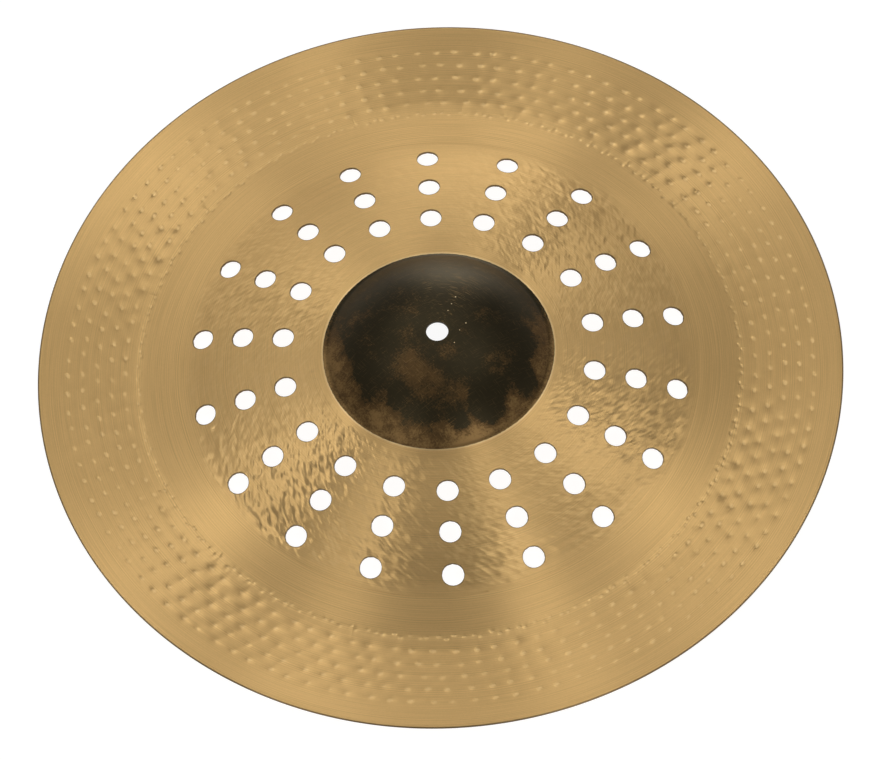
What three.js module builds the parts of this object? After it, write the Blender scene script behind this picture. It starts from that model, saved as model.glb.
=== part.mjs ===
// China cymbal: one sheet of cast bronze, pressed into a domed bell and a falling bow, turned
// back up at a bend into a flange, and pierced by rays of round sound holes.
// It lies bell up on its bend, which is its lowest ring. Z is its axis and Z = 0 the table.
// Lengths are millimetres. Slopes are degrees of rise going outwards, negative where it falls.
// Angles round the axis are degrees from the front, anticlockwise from above.
import * as THREE from "three";
import {
  mergeGeometries,
  mergeVertices,
  toCreasedNormals,
} from "three/addons/utils/BufferGeometryUtils.js";

// Overall size: a 19 inch cymbal
const rimRadius = 241.3;

// Thickness of the sheet, which thins steadily from the edge of the seat to the rim
const crownThickness = 1.5;
const rimThickness = 0.8;

// Bell: a flat seat for the felts round the rod hole, then the dome and its hollow foot
const rodHoleRadius = 6.6;
const crownSeatWidth = 4;
const bellRadius = 68.4;
const bellFootCurve = 6;
const bellBaseSlope = -42.5;

// Bow: it starts almost level at the foot of the bell and steepens outwards
const bowStartSlope = -1;
const bowEndSlope = -18.3;

// Sweep: the fall eases into a plain cone that leads down to the bend
const sweepWidth = 13.5;
const coneWidth = 21;
const coneSlope = -7.8;

// Bend and flange: the sheet turns from falling to rising and climbs to the rim
const bendWidth = 14;
const flangeWidth = 49.3;
const flangeStartSlope = 6;
const flangeEndSlope = 9.5;

// Sound holes: each ray carries one hole of every ring
const rayCount = 18;
const ringCount = 3;
const soundHoleRadius = 6.5;
const firstRingGap = 25.5;
const ringPitch = 24.8;
const firstRayAngle = -1.06;

// Drift of the rays, which were marked out by hand: waves round the turn, in degrees
const rayDrift = [
  { waves: 1, swing: 1, crest: -72.1 },
  { waves: 2, swing: 0.812, crest: -61.9 },
  { waves: 3, swing: 0.253, crest: 132 },
];

// Facets: the patch round a sound hole has as many along each of its four edges
const facetsPerEdge = 4;
const rimRoundSteps = 4;
const creaseAngle = 30;

const radians = THREE.MathUtils.degToRad;

// Width of the dome between the flat seat and the foot's hollow, which fills the bell's radius
const seatRadius = rodHoleRadius + crownSeatWidth;
const footWidth =
  bellFootCurve * (Math.sin(radians(bowStartSlope)) - Math.sin(radians(bellBaseSlope)));
const domeWidth = bellRadius - footWidth - seatRadius;

// Width of the bow, which fills what the bell and the outer zones leave of the radius.
// The rim's rounding reaches half a thickness past the end of the middle line.
const rimRounding = rimThickness / 2;
const middleLineRadius = rimRadius - rimRounding;
const bowWidth =
  middleLineRadius - bellRadius - sweepWidth - coneWidth - bendWidth - flangeWidth;

// Pierced band: half a pitch of sheet lies on each side of every ring of holes
const bandInnerRadius = bellRadius + firstRingGap - ringPitch / 2;
const bandOuterRadius = bandInnerRadius + ringCount * ringPitch;
const turnFacets = rayCount * facetsPerEdge;

// One stretch of the sheet's middle line, an arc from a start point that turns to the end slope.
// On an arc the sine of the slope grows evenly with the radius, and a chord slopes at the mean
// of the slopes at its two ends. Equal slopes give a straight run.
function arcStretch(start, width, endSlope, steps) {
  const startSine = Math.sin(start.slope);
  const sineGain = Math.sin(endSlope) - startSine;
  const at = (radius) => {
    const run = radius - start.radius;
    const slope = Math.asin(startSine + (sineGain * run) / width);
    const height = start.height + run * Math.tan((start.slope + slope) / 2);
    return { radius, height, slope };
  };
  return { at, steps, startRadius: start.radius, endRadius: start.radius + width };
}

// The whole middle line, from the rod hole to the rim
function middleLine() {
  const zones = [
    { width: crownSeatWidth, endSlope: 0, steps: 1 },
    { width: domeWidth, endSlope: bellBaseSlope, steps: 6 },
    { width: footWidth, endSlope: bowStartSlope, steps: 3 },
    { width: bowWidth, endSlope: bowEndSlope, steps: 6 },
    { width: sweepWidth, endSlope: coneSlope, steps: 2 },
    { width: coneWidth, endSlope: coneSlope, steps: 1 },
    { width: bendWidth, endSlope: flangeStartSlope, steps: 4 },
    { width: flangeWidth, endSlope: flangeEndSlope, steps: 3 },
  ];
  const stretches = [];
  let start = { radius: rodHoleRadius, height: 0, slope: 0 };
  for (const { width, endSlope, steps } of zones) {
    const stretch = arcStretch(start, width, radians(endSlope), steps);
    stretches.push(stretch);
    start = stretch.at(stretch.endRadius);
  }
  return stretches;
}

function pointAt(line, radius) {
  const stretch = line.find(({ endRadius }) => radius <= endRadius) ?? line.at(-1);
  return stretch.at(radius);
}

function thicknessAt(radius) {
  const share = Math.max(0, radius - seatRadius) / (middleLineRadius - seatRadius);
  return THREE.MathUtils.lerp(crownThickness, rimThickness, share);
}

// A point of the section, set off from the middle line at an angle to its outward direction
function offsetFrom({ radius, height, slope }, distance, angle) {
  return new THREE.Vector2(
    radius + distance * Math.cos(slope + angle),
    height + distance * Math.sin(slope + angle),
  );
}

// The two points of the sheet's section at a radius, one on each face
function facesAt(line, radius) {
  const station = pointAt(line, radius);
  const half = thicknessAt(radius) / 2;
  return {
    upper: offsetFrom(station, half, Math.PI / 2),
    under: offsetFrom(station, half, -Math.PI / 2),
  };
}

// Radii at which a face changes facets. Round the pierced band they keep off its two edges, so
// that no strip of facets is a sliver.
function stationRadii(line) {
  const radii = [line[0].startRadius];
  for (const { steps, startRadius, endRadius } of line) {
    for (let step = 1; step <= steps; step++) {
      radii.push(THREE.MathUtils.lerp(startRadius, endRadius, step / steps));
    }
  }
  const clear = ringPitch / facetsPerEdge;
  const inner = radii.filter((radius) => radius < bandInnerRadius - clear);
  const outer = radii.filter((radius) => radius > bandOuterRadius + clear);
  return { inner: [...inner, bandInnerRadius], outer: [bandOuterRadius, ...outer] };
}

// Angle round the axis of one edge between facets, which every zone of the sheet shares
const firstFacetTurn = radians(firstRayAngle) - Math.PI / rayCount;
const facetTurn = (facet) => firstFacetTurn + facet * (1 / turnFacets) * (2 * Math.PI);

// A profile turned about the axis
function turned(profile) {
  const geometry = new THREE.LatheGeometry(profile, turnFacets, firstFacetTurn);
  geometry.deleteAttribute("normal");
  geometry.deleteAttribute("uv");
  return geometry;
}

// Bell and start of the bow: upper face inwards, wall of the rod hole, under face outwards
function innerSheet(line, radii) {
  const faces = radii.map((radius) => facesAt(line, radius));
  const upper = faces.map((face) => face.upper).reverse();
  const under = faces.map((face) => face.under);
  return turned([...upper, ...under]);
}

// Bend and flange: under face outwards, round rim, upper face inwards
function outerSheet(line, radii) {
  const faces = radii.map((radius) => facesAt(line, radius));
  const under = faces.map((face) => face.under);
  const upper = faces.map((face) => face.upper).reverse();
  const rimEnd = pointAt(line, radii.at(-1));
  const rimRound = [];
  for (let step = 1; step < rimRoundSteps; step++) {
    const angle = Math.PI * (step / rimRoundSteps - 0.5);
    rimRound.push(offsetFrom(rimEnd, rimRounding, angle));
  }
  return turned([...under, ...rimRound, ...upper]);
}

// Angle of a ray round the axis: an even share of the turn, plus the drift of the marking out
function rayAngle(ray) {
  const even = firstRayAngle + (ray * 360) / rayCount;
  const drift = rayDrift.map(
    ({ waves, swing, crest }) => swing * Math.cos(radians(waves * even - crest)),
  );
  return radians(even + drift.reduce((sum, wave) => sum + wave));
}

// Plan of one patch, which is one ray's share of one ring: the points of its four edges, each
// paired with the point of the sound hole that lies the same way from the hole's centre.
// The hole is a true circle on the slope of the sheet.
function patchPlan(line, ring, ray) {
  const centre = pointAt(line, bellRadius + firstRingGap + ring * ringPitch);
  const middle = rayAngle(ray);
  const plan = [];
  for (let edge = 0; edge < 4; edge++) {
    for (let step = 0; step < facetsPerEdge; step++) {
      const back = facetsPerEdge - step;
      const [out, across] = [
        [facetsPerEdge, step],
        [back, facetsPerEdge],
        [0, back],
        [step, 0],
      ][edge];
      const outline = {
        radius: bandInnerRadius + (ring + out / facetsPerEdge) * ringPitch,
        turn: facetTurn(ray * facetsPerEdge + across),
      };
      const angle = (Math.PI / 2) * (edge - 0.5 + step / facetsPerEdge);
      const outwards = soundHoleRadius * Math.cos(angle) * Math.cos(centre.slope);
      const sideways = soundHoleRadius * Math.sin(angle);
      const reach = centre.radius + outwards;
      const hole = {
        radius: Math.hypot(reach, sideways),
        turn: middle + Math.atan2(sideways, reach),
      };
      plan.push({ outline, hole });
    }
  }
  return plan;
}

// A point of each face over a point of the plan, as x, y, z with the axis along Y
function raised(line, { radius, turn }) {
  const { upper, under } = facesAt(line, radius);
  return [upper, under].map(({ x, y }) => [x * Math.sin(turn), y, x * Math.cos(turn)]);
}

// One pierced patch: on each face a collar of facets from its edges to the hole, and the wall
// of the hole between them. Four points stand at each place of the plan.
function piercedPatch(line, ring, ray) {
  const plan = patchPlan(line, ring, ray);
  const positions = plan.flatMap(({ outline, hole }) => [
    ...raised(line, outline),
    ...raised(line, hole),
  ]);
  const index = [];
  const quad = (a, b, c, d) => index.push(a, b, c, a, c, d);
  for (let place = 0; place < plan.length; place++) {
    const [upperEdge, underEdge, upperHole, underHole] = [0, 1, 2, 3].map((k) => 4 * place + k);
    const step = 4 * (((place + 1) % plan.length) - place);
    quad(upperEdge, upperEdge + step, upperHole + step, upperHole);
    quad(upperHole, upperHole + step, underHole + step, underHole);
    quad(underHole, underHole + step, underEdge + step, underEdge);
  }
  const geometry = new THREE.BufferGeometry();
  geometry.setAttribute("position", new THREE.Float32BufferAttribute(positions.flat(), 3));
  geometry.setIndex(index);
  return geometry;
}

function piercedBand(line) {
  const patches = [];
  for (let ring = 0; ring < ringCount; ring++) {
    for (let ray = 0; ray < rayCount; ray++) {
      patches.push(piercedPatch(line, ring, ray));
    }
  }
  return mergeGeometries(patches);
}

// The sheet is turned about Y, then stood up on Z with its lowest ring on the table
function cymbalGeometry() {
  const line = middleLine();
  const { inner, outer } = stationRadii(line);
  const zones = [innerSheet(line, inner), piercedBand(line), outerSheet(line, outer)];
  const sheet = mergeVertices(mergeGeometries(zones));
  sheet.computeBoundingBox();
  sheet.translate(0, -sheet.boundingBox.min.y, 0);
  sheet.rotateX(Math.PI / 2);
  return toCreasedNormals(sheet, radians(creaseAngle));
}

const bronze = new THREE.MeshStandardMaterial({
  color: 0xbb9a62,
  roughness: 0.36,
  metalness: 0.95,
});

const cymbal = new THREE.Mesh(cymbalGeometry(), bronze);
cymbal.name = "cymbal";

const chinaCymbal = new THREE.Group();
chinaCymbal.add(cymbal);

export default chinaCymbal;
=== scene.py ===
"""China cymbal: one hammered and lathed sheet of bronze with a raw bell and rays of sound holes."""

import math

import bpy
import numpy as np
from bpy.props import FloatProperty, FloatVectorProperty, IntProperty, PointerProperty
from mathutils import Matrix, Vector


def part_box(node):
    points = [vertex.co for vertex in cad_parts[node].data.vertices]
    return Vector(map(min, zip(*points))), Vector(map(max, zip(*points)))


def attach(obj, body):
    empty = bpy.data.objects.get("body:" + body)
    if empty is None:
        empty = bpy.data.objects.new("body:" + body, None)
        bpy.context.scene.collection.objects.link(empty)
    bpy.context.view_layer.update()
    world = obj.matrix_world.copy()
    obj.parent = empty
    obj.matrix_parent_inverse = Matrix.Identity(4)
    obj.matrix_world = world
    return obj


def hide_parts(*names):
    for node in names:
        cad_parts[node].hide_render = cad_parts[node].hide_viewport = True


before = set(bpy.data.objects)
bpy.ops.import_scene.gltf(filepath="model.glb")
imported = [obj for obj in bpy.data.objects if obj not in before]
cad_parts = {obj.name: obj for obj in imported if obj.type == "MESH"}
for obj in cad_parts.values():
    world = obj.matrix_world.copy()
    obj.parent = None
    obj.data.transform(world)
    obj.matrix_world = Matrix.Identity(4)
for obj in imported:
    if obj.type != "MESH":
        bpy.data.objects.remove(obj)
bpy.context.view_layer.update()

bl_info = {
    "name": "China cymbal",
    "version": (1, 0, 0),
    "blender": (4, 5, 0),
    "location": "3D View > Sidebar > Cymbal",
    "description": "Dresses the packed CAD sheet of a china cymbal and builds its studio",
    "category": "Object",
}

FULL_TURN = 2 * math.pi
SHEET_NODE = "cymbal"
RIM_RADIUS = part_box(SHEET_NODE)[1].x


def length(name, description, default):
    """A length property, in metres."""
    return FloatProperty(
        name=name, description=description, default=default, unit="LENGTH", precision=5
    )


def angle(name, description, degrees):
    """An angle property, given in degrees and kept in radians."""
    return FloatProperty(
        name=name, description=description, default=math.radians(degrees), subtype="ANGLE"
    )


def colour(name, description, default):
    """A colour property, as linear red, green and blue."""
    return FloatVectorProperty(
        name=name, description=description, default=default, subtype="COLOR", size=3, min=0, max=1
    )


def number(name, description, default):
    """A plain number property."""
    return FloatProperty(name=name, description=description, default=default, precision=3)


def count(name, description, default):
    """A whole number property."""
    return IntProperty(name=name, description=description, default=default, min=1)


class CymbalSection(bpy.types.PropertyGroup):
    """Sizes of the sheet's section, as in the CAD source."""

    rim_radius: length("Rim radius", "Outer radius of the sheet", RIM_RADIUS)
    crown_thickness: length("Crown thickness", "Thickness of the sheet at the seat", 0.0015)
    rim_thickness: length("Rim thickness", "Thickness of the sheet at the rim", 0.0008)
    rod_hole_radius: length("Rod hole radius", "Radius of the hole for the rod", 0.0066)
    crown_seat_width: length("Seat width", "Width of the flat seat round the rod hole", 0.004)
    bell_radius: length("Bell radius", "Radius at which the bow starts", 0.0684)
    bell_foot_curve: length("Foot curve", "Radius of the hollow at the bell's foot", 0.006)
    bell_base_slope: angle("Bell base slope", "Slope at the bottom of the dome", -42.5)
    bow_start_slope: angle("Bow start slope", "Slope where the bow leaves the bell", -1)
    bow_end_slope: angle("Bow end slope", "Slope where the bow is steepest", -18.3)
    sweep_width: length("Sweep width", "Width over which the fall eases", 0.0135)
    cone_width: length("Cone width", "Width of the straight fall before the bend", 0.021)
    cone_slope: angle("Cone slope", "Slope of the straight fall", -7.8)
    bend_width: length("Bend width", "Width of the bend from falling to rising", 0.014)
    flange_width: length("Flange width", "Width of the rising flange", 0.0493)
    flange_start_slope: angle("Flange start slope", "Slope where the flange starts", 6)
    flange_end_slope: angle("Flange end slope", "Slope of the flange at the rim", 9.5)


class CymbalHoles(bpy.types.PropertyGroup):
    """Sizes and places of the sound holes."""

    ray_count: count("Rays", "Rays of sound holes", 18)
    ring_count: count("Rings", "Sound holes along one ray", 3)
    hole_radius: length("Hole radius", "Radius of a sound hole", 0.0065)
    first_ring_gap: length("First ring gap", "From the bell's foot to the first ring", 0.0255)
    ring_pitch: length("Ring pitch", "From one ring of holes to the next", 0.0248)
    first_ray_angle: angle("First ray", "Angle of the first ray from the front", -1.06)


class CymbalHammering(bpy.types.PropertyGroup):
    """Sizes of what the hammer leaves on the upper face."""

    open_rows: count("Open rows", "Rows of open marks on the flange", 5)
    mark_pitch: length("Mark pitch", "From one mark to the next along an open row", 0.0122)
    dense_pitch: length("Dense pitch", "From one mark to the next along the dense row", 0.0052)
    dense_row_radius: length("Dense row", "Radius of the dense row at the bend", 0.1808)
    row_pitch: length("Row pitch", "From one row of marks to the next", 0.0086)
    row_lead: number("Row lead", "Shift of each row along the turn, in marks", 0.2)
    mark_half_length: length("Mark half length", "Half of a mark the long way", 0.0024)
    mark_half_width: length("Mark half width", "Half of a mark the short way", 0.00145)
    mark_lean: angle("Mark lean", "Turn of a mark outwards from its row", -22)
    mark_depth: length("Mark depth", "Depth of a mark", 0.00013)
    hollow_depth: length("Hollow depth", "Depth of the wide hollow round a mark", 0.00023)
    stroke_depth: length("Stroke depth", "Depth of a hammer stroke on the bow", 0.00005)
    stroke_length: length("Stroke length", "Length of a hammer stroke on the bow", 0.0078)
    stroke_width: length("Stroke width", "Width of a hammer stroke on the bow", 0.0040)
    stroke_lean: angle("Stroke lean", "Turn of a stroke outwards from the circle", 35)


class CymbalFinish(bpy.types.PropertyGroup):
    """Colours and gloss of the bronze and its skin, among them a painted highlight, a painted sheen and
    a painted edge shade.
    """

    bronze_light: colour("Light bronze", "Freshly cut bronze", (0.79, 0.518, 0.213))
    bronze_deep: colour("Deep bronze", "Bronze in the grooves", (0.65, 0.42, 0.166))
    # Paler bronze: used for painted highlights, for the pale cores of the marks and for bare nicks in
    # the skin
    bronze_and_painted_highlight: colour("Bright bronze", "Bronze that glints at its edges", (0.97, 0.74, 0.40))
    # Painted shade: a dark bronze painted along the rim's edge, along the holes' edges and on the holes'
    # walls
    painted_edge_shade: colour("Edge bronze", "Tarnished bronze at cut edges", (0.22, 0.15, 0.075))
    patina_black: colour("Black patina", "Oxide skin left on the bell", (0.036, 0.0282, 0.0138))
    # Painted sheen: black skin painted lighter grey at the back of the dome, where the lamps behind
    # reflect
    patina_painted_sheen: colour("Grey patina", "Oxide skin rubbed at the back", (0.072, 0.058, 0.034))
    patina_brown: colour("Brown patina", "Thin oxide skin", (0.10, 0.058, 0.022))
    patina_worn: colour("Worn patina", "Bronze that shows through", (0.24, 0.145, 0.055))
    bronze_roughness: number("Bronze roughness", "Roughness of the lathed bronze", 0.435)
    mark_roughness: number("Mark roughness", "Roughness inside the hammer's marks", 0.36)
    mark_share: number("Mark share", "Share of a mark that the lathe left alone", 0.5)
    lathe_draw: number("Lathe draw", "How far the lathe's grooves draw out a reflection", 0.943)


class CymbalStage(bpy.types.PropertyGroup):
    """Camera, lamps, floor and sky."""

    camera_distance: length("Camera distance", "From the camera to what it looks at", 2.4)
    camera_elevation: angle("Camera elevation", "Height of the camera over the floor", 60.525)
    camera_roll: angle("Camera roll", "Turn of the camera about its view", -4.245)
    look_height: length("Look height", "Height of the plane that the camera looks at", 0.0078)
    look_side: length("Look aside", "Shift of the view to the camera's right", -0.0011)
    look_up: length("Look up", "Shift of the view to the camera's top", -0.0117)
    focal_length: number("Focal length", "Lens of the camera, in millimetres", 164.8)
    lamp_distance: length("Lamp distance", "From the lamps to the cymbal", 2.2)
    lamp_power: number("Lamp power", "Share of their usual power that the lamps give", 1.0)
    floor_side: length("Floor side", "Side of the square floor", 14)
    floor_colour: colour("Floor colour", "Colour of the floor", (0.8, 0.8, 0.79))
    zenith_level: number("Zenith level", "Level of the studio's light overhead", 0.12)


def around(out, turn, height):
    """Points at a distance from the axis, at angles from the front, anticlockwise from above."""
    out, turn, height = np.broadcast_arrays(out, turn, height)
    return np.stack([out * np.sin(turn), -out * np.cos(turn), height], axis=-1)


def wrapped(turn):
    """The same angle between minus half a turn and half a turn."""
    return (turn + math.pi) % FULL_TURN - math.pi


def smooth_step(low, high, value):
    """0 up to low, 1 from high on, and three squares less two cubes of the way between."""
    way = np.clip((value - low) / (high - low), 0, 1)
    return way * way * (3 - 2 * way)


# Points of the bend that are looked at to find the lowest of them
BEND_SAMPLES = 500


class MiddleLine:
    """The middle of the sheet's thickness from the rod hole to the rim, as a chain of arcs.

    Over one zone the sine of the slope grows evenly with the radius, which makes the zone an arc.
    The height over the zone's start is the run times the tangent of the mean of the two slopes.
    The lowest point of the under face, which is in the bend, has height 0.
    """

    def __init__(self, section):
        self.seat_edge = section.rod_hole_radius + section.crown_seat_width
        self.end = section.rim_radius - section.rim_thickness / 2
        self.thickness = (section.crown_thickness, section.rim_thickness)
        foot_gain = math.sin(section.bow_start_slope) - math.sin(section.bell_base_slope)
        self.foot_start = section.bell_radius - section.bell_foot_curve * foot_gain
        self.bell_edge = section.bell_radius
        flange_start = self.end - section.flange_width
        bend_start = flange_start - section.bend_width
        cone_start = bend_start - section.cone_width
        bow_end = cone_start - section.sweep_width
        self.edges = np.array([
            section.rod_hole_radius,
            self.seat_edge,
            self.foot_start,
            self.bell_edge,
            bow_end,
            cone_start,
            bend_start,
            flange_start,
            self.end,
        ])
        self.slopes = np.array([
            0,
            0,
            section.bell_base_slope,
            section.bow_start_slope,
            section.bow_end_slope,
            section.cone_slope,
            section.cone_slope,
            section.flange_start_slope,
            section.flange_end_slope,
        ])
        self.sines = np.sin(self.slopes)
        self.widths = np.diff(self.edges)
        rises = self.widths * np.tan((self.slopes[1:] + self.slopes[:-1]) / 2)
        self.heights = np.append(0, np.cumsum(rises))
        bend = np.linspace(bend_start, flange_start, BEND_SAMPLES)
        self.heights = self.heights - self.face(bend, 0, -1)[:, 2].min()

    def at(self, radius):
        """Height and slope of the middle line at each radius."""
        zone = np.searchsorted(self.edges, radius, "right") - 1
        zone = np.clip(zone, 0, len(self.widths) - 1)
        run = radius - self.edges[zone]
        gain = (self.sines[zone + 1] - self.sines[zone]) * run / self.widths[zone]
        slope = np.arcsin(self.sines[zone] + gain)
        height = self.heights[zone] + run * np.tan((self.slopes[zone] + slope) / 2)
        return height, slope

    def half_thickness(self, radius):
        """Half the sheet's thickness, which thins evenly from the seat's edge to the rim."""
        way = np.clip((radius - self.seat_edge) / (self.end - self.seat_edge), 0, 1)
        crown, rim = self.thickness
        return (crown + (rim - crown) * way) / 2

    def face(self, radius, turn, side, dent=0.0):
        """Points of the upper face, whose side is 1, or of the under face, whose side is -1.

        A point stands off the middle line, square to it, by half the thickness less the dent.
        """
        height, slope = self.at(radius)
        offset = side * self.half_thickness(radius) - dent
        return around(radius - offset * np.sin(slope), turn, height + offset * np.cos(slope))

    def rim(self, turn, steps):
        """Points of the round edge, from its upper end to its lower end, without the two ends."""
        height, slope = self.at(self.end)
        swing = np.linspace(math.pi / 2, -math.pi / 2, steps + 1)[1:-1, None] + slope
        reach = self.thickness[1] / 2
        return around(self.end + reach * np.cos(swing), turn, height + reach * np.sin(swing))


# Drift of the rays of holes, which were marked out by hand: waves round the turn, and the swing
# and the crest of each in degrees
RAY_DRIFT = ((1, 1.0, -72.1), (2, 0.812, -61.9), (3, 0.253, 132.0))


def drifted_turns(holes, columns):
    """Angles of columns round the axis: even shares of the turn, plus the drift of the rays."""
    even = holes.first_ray_angle + FULL_TURN * np.arange(columns) / columns
    drift = sum(
        math.radians(swing) * np.cos(waves * even - math.radians(crest))
        for waves, swing, crest in RAY_DRIFT
    )
    return even + drift


# Grid of the pierced band on each face: cells along one ray's and one ring's share of it, and
# half the block of cells that a hole takes out, along the turn for each ring and outwards
UPPER_GRID = {"columns": 30, "rows": 18, "half_columns": (5, 4, 3), "half_rows": 4}
UNDER_GRID = {"columns": 16, "rows": 10, "half_columns": (3, 2, 2), "half_rows": 2}

# How far the grid is bent round a hole, in half blocks
BEND_REACH = 2.2

# Distance that keeps a division by it safe at a hole's centre
NO_WAY = 1e-5

# Size, in half blocks, up to which a point is on the edge of a hole
ON_THE_EDGE = 1.001


class PiercedBand:
    """Grid of the band with the sound holes, on one face.

    A block of cells is left out for each hole. The points on the block's edge move to the hole's
    circle, straight away from its centre or towards it. Points further out move by a share of
    that, which falls with the square of the way to the bend's reach.
    """

    def __init__(self, line, section, holes, layout):
        self.ray_columns = layout["columns"]
        self.ring_rows = layout["rows"]
        self.half_columns = np.array(layout["half_columns"])
        self.half_rows = layout["half_rows"]
        columns = self.ray_columns * holes.ray_count
        rows = self.ring_rows * holes.ring_count
        start = section.bell_radius + holes.first_ring_gap - holes.ring_pitch / 2
        self.radius = start + holes.ring_pitch * np.arange(rows + 1)[:, None] / self.ring_rows
        self.turns = drifted_turns(holes, columns)
        row = np.arange(rows + 1)[:, None]
        column = np.arange(columns)[None, :]
        ring = np.minimum(row // self.ring_rows, holes.ring_count - 1)
        ray = np.round(column / self.ray_columns).astype(int)
        rows_off = row - (ring + 0.5) * self.ring_rows
        columns_off = column - ray * self.ray_columns
        block = self.half_columns[ring]
        size = np.maximum(abs(rows_off) / self.half_rows, abs(columns_off) / block)
        middle = self.turns[ray % holes.ray_count * self.ray_columns]
        centre = start + (ring + 0.5) * holes.ring_pitch
        foreshortening = np.cos(line.at(centre)[1])
        off = wrapped(self.turns - middle)
        aside = self.radius * np.sin(off)
        outwards = (self.radius * np.cos(off) - centre) / foreshortening
        away = np.maximum(np.hypot(aside, outwards), NO_WAY)
        hold = np.clip((BEND_REACH - size) / (BEND_REACH - 1), 0, 1) ** 2
        growth = 1 + (holes.hole_radius * size / away - 1) * hold
        aside = aside * growth
        outwards = centre + outwards * growth * foreshortening
        self.radius = np.hypot(aside, outwards)
        self.turn = middle + np.arctan2(aside, outwards)
        self.bearing = np.arctan2(rows_off, columns_off + 0 * rows_off)
        cell = np.maximum(
            abs(rows_off[:-1] + 0.5) / self.half_rows, abs(columns_off + 0.5) / block[:-1]
        )
        self.kept = cell > 1
        # Points on a hole's edge, where the material paints a darker line of shade
        self.at_hole = (size <= ON_THE_EDGE).astype(float)

    def hole_edges(self, numbers):
        """For each hole, the numbers of the points along its edge and their bearings."""
        edges = []
        for ring, wide in enumerate(self.half_columns):
            high = self.half_rows
            along = np.arange(-wide, wide)
            up = np.arange(-high, high)
            side, end = np.full(2 * high, wide), np.full(2 * wide, high)
            rows = np.concatenate([-end, up, end, -up])
            columns = np.concatenate([along, side, -along, -side])
            rows = rows + int((ring + 0.5) * self.ring_rows)
            for first in range(0, len(self.turns), self.ray_columns):
                place = rows, (columns + first) % len(self.turns)
                edges.append((numbers[place], np.unwrap(self.bearing[place])))
        return edges


# Radii between which the hammer's strokes on the bow set in, and between which they end
STROKES_SET_IN = (0.0712, 0.0752)
STROKES_END = (0.147, 0.157)
STROKE_SEED = 19

# Depth of the strokes round the bow: its mean, and for one and for two waves round the turn the
# swing and the direction of the crest from +X
MEAN_STROKE = 1.45
SINGLE_SWING, SINGLE_CREST = 0.4, math.radians(-109)
DOUBLE_SWING, DOUBLE_CREST = 0.55, math.radians(20)


def stroke_swing(azimuth, cosine):
    """How deep the strokes are at an azimuth, against those of usual depth."""
    single = cosine(azimuth - SINGLE_CREST) * SINGLE_SWING
    double = cosine((azimuth - DOUBLE_CREST) * 2) * DOUBLE_SWING
    return single + double + MEAN_STROKE


# How many cells off a stroke still reaches a point
STROKE_REACH = (-2, -1, 0, 1, 2)

# A stroke's bowl: how fast it falls away from its middle, how its depth varies by chance, and
# the level that stays where the untouched bow was
BOWL_FALL = 4
BOWL_CHANCE = 0.5
BOWL_LEVEL = 0.5


def stroke_dents(hammering, radius, turn):
    """Depth of the strokes that cover the bow: at each point, that of the deepest of those near it.

    Each cell of a grid on the angle and the logarithm of the radius has one stroke, set off by
    chance. A stroke is a long bowl: its depth falls with the squares of the ways along and across.
    """
    lean = hammering.stroke_lean
    inner, outer = STROKES_SET_IN[0], STROKES_END[1]
    cell = math.sqrt(hammering.stroke_length * hammering.stroke_width) / (inner + outer)
    columns = round(FULL_TURN / (2 * cell))
    rows = math.ceil(math.log(outer / inner) / (2 * cell))
    cell = FULL_TURN / columns
    draw = np.random.default_rng(STROKE_SEED)
    off_turn, off_out, strength = draw.uniform(-0.5, 0.5, size=(3, rows, columns))
    middle = (inner + outer) / 2
    turn_place = turn / cell
    out_place = np.log(radius / inner) / cell
    deepest = np.zeros(np.broadcast(radius, turn).shape)
    for row_step in STROKE_REACH:
        row = np.clip(np.floor(out_place) + row_step, 0, rows - 1).astype(int)
        for column_step in STROKE_REACH:
            column = np.floor(turn_place) + column_step
            key = row, column.astype(int) % columns
            aside = (turn_place - column - 0.5 - off_turn[key]) * cell * middle
            outwards = (out_place - row - 0.5 - off_out[key]) * cell * middle
            along = aside * math.cos(lean) + outwards * math.sin(lean)
            across = outwards * math.cos(lean) - aside * math.sin(lean)
            share = (along / hammering.stroke_length) ** 2 + (across / hammering.stroke_width) ** 2
            bowl = 1 + BOWL_CHANCE * strength[key] - BOWL_FALL * share
            deepest = np.maximum(deepest, bowl)
    window = smooth_step(*STROKES_SET_IN, radius) * (1 - smooth_step(*STROKES_END, radius))
    swing = stroke_swing(turn - math.pi / 2, np.cos)
    return hammering.stroke_depth * swing * window * (deepest - BOWL_LEVEL)


# How far a mark strays along its row, in marks, and across it: in the dense row, then the others
MARK_SHIFT = (0.2, 0.09)
MARK_SCATTER = (0.001, 0.0003)

# Wander of a whole row: its swing and how often it swings round the turn
ROW_WANDER = 0.0003
WANDER_WAVES = 3

# Swing of the marks' strength
STRENGTH_SWING = 0.3

# Paces at which the marks of a row differ in each way, and the start of each row
SHIFT_PACE = 2.4
SCATTER_PACE = 3.7
STRENGTH_PACE = 5.3
ASTRAY_PACES = (4.1, 1.7)
HOLLOW_PACE = 2.9
ROW_PACE = 1.9


def unevenness(mark, row, pace):
    """An uneven number from -1 to 1 for each mark: the sine of a multiple of its number."""
    return np.sin(pace * mark + ROW_PACE * row)


def marks_in(hammering, row):
    """How many marks go round a row, where row 0 is the dense one."""
    radius = hammering.dense_row_radius + row * hammering.row_pitch
    pitch = hammering.mark_pitch if row else hammering.dense_pitch
    return round(FULL_TURN * radius / pitch)


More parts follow.
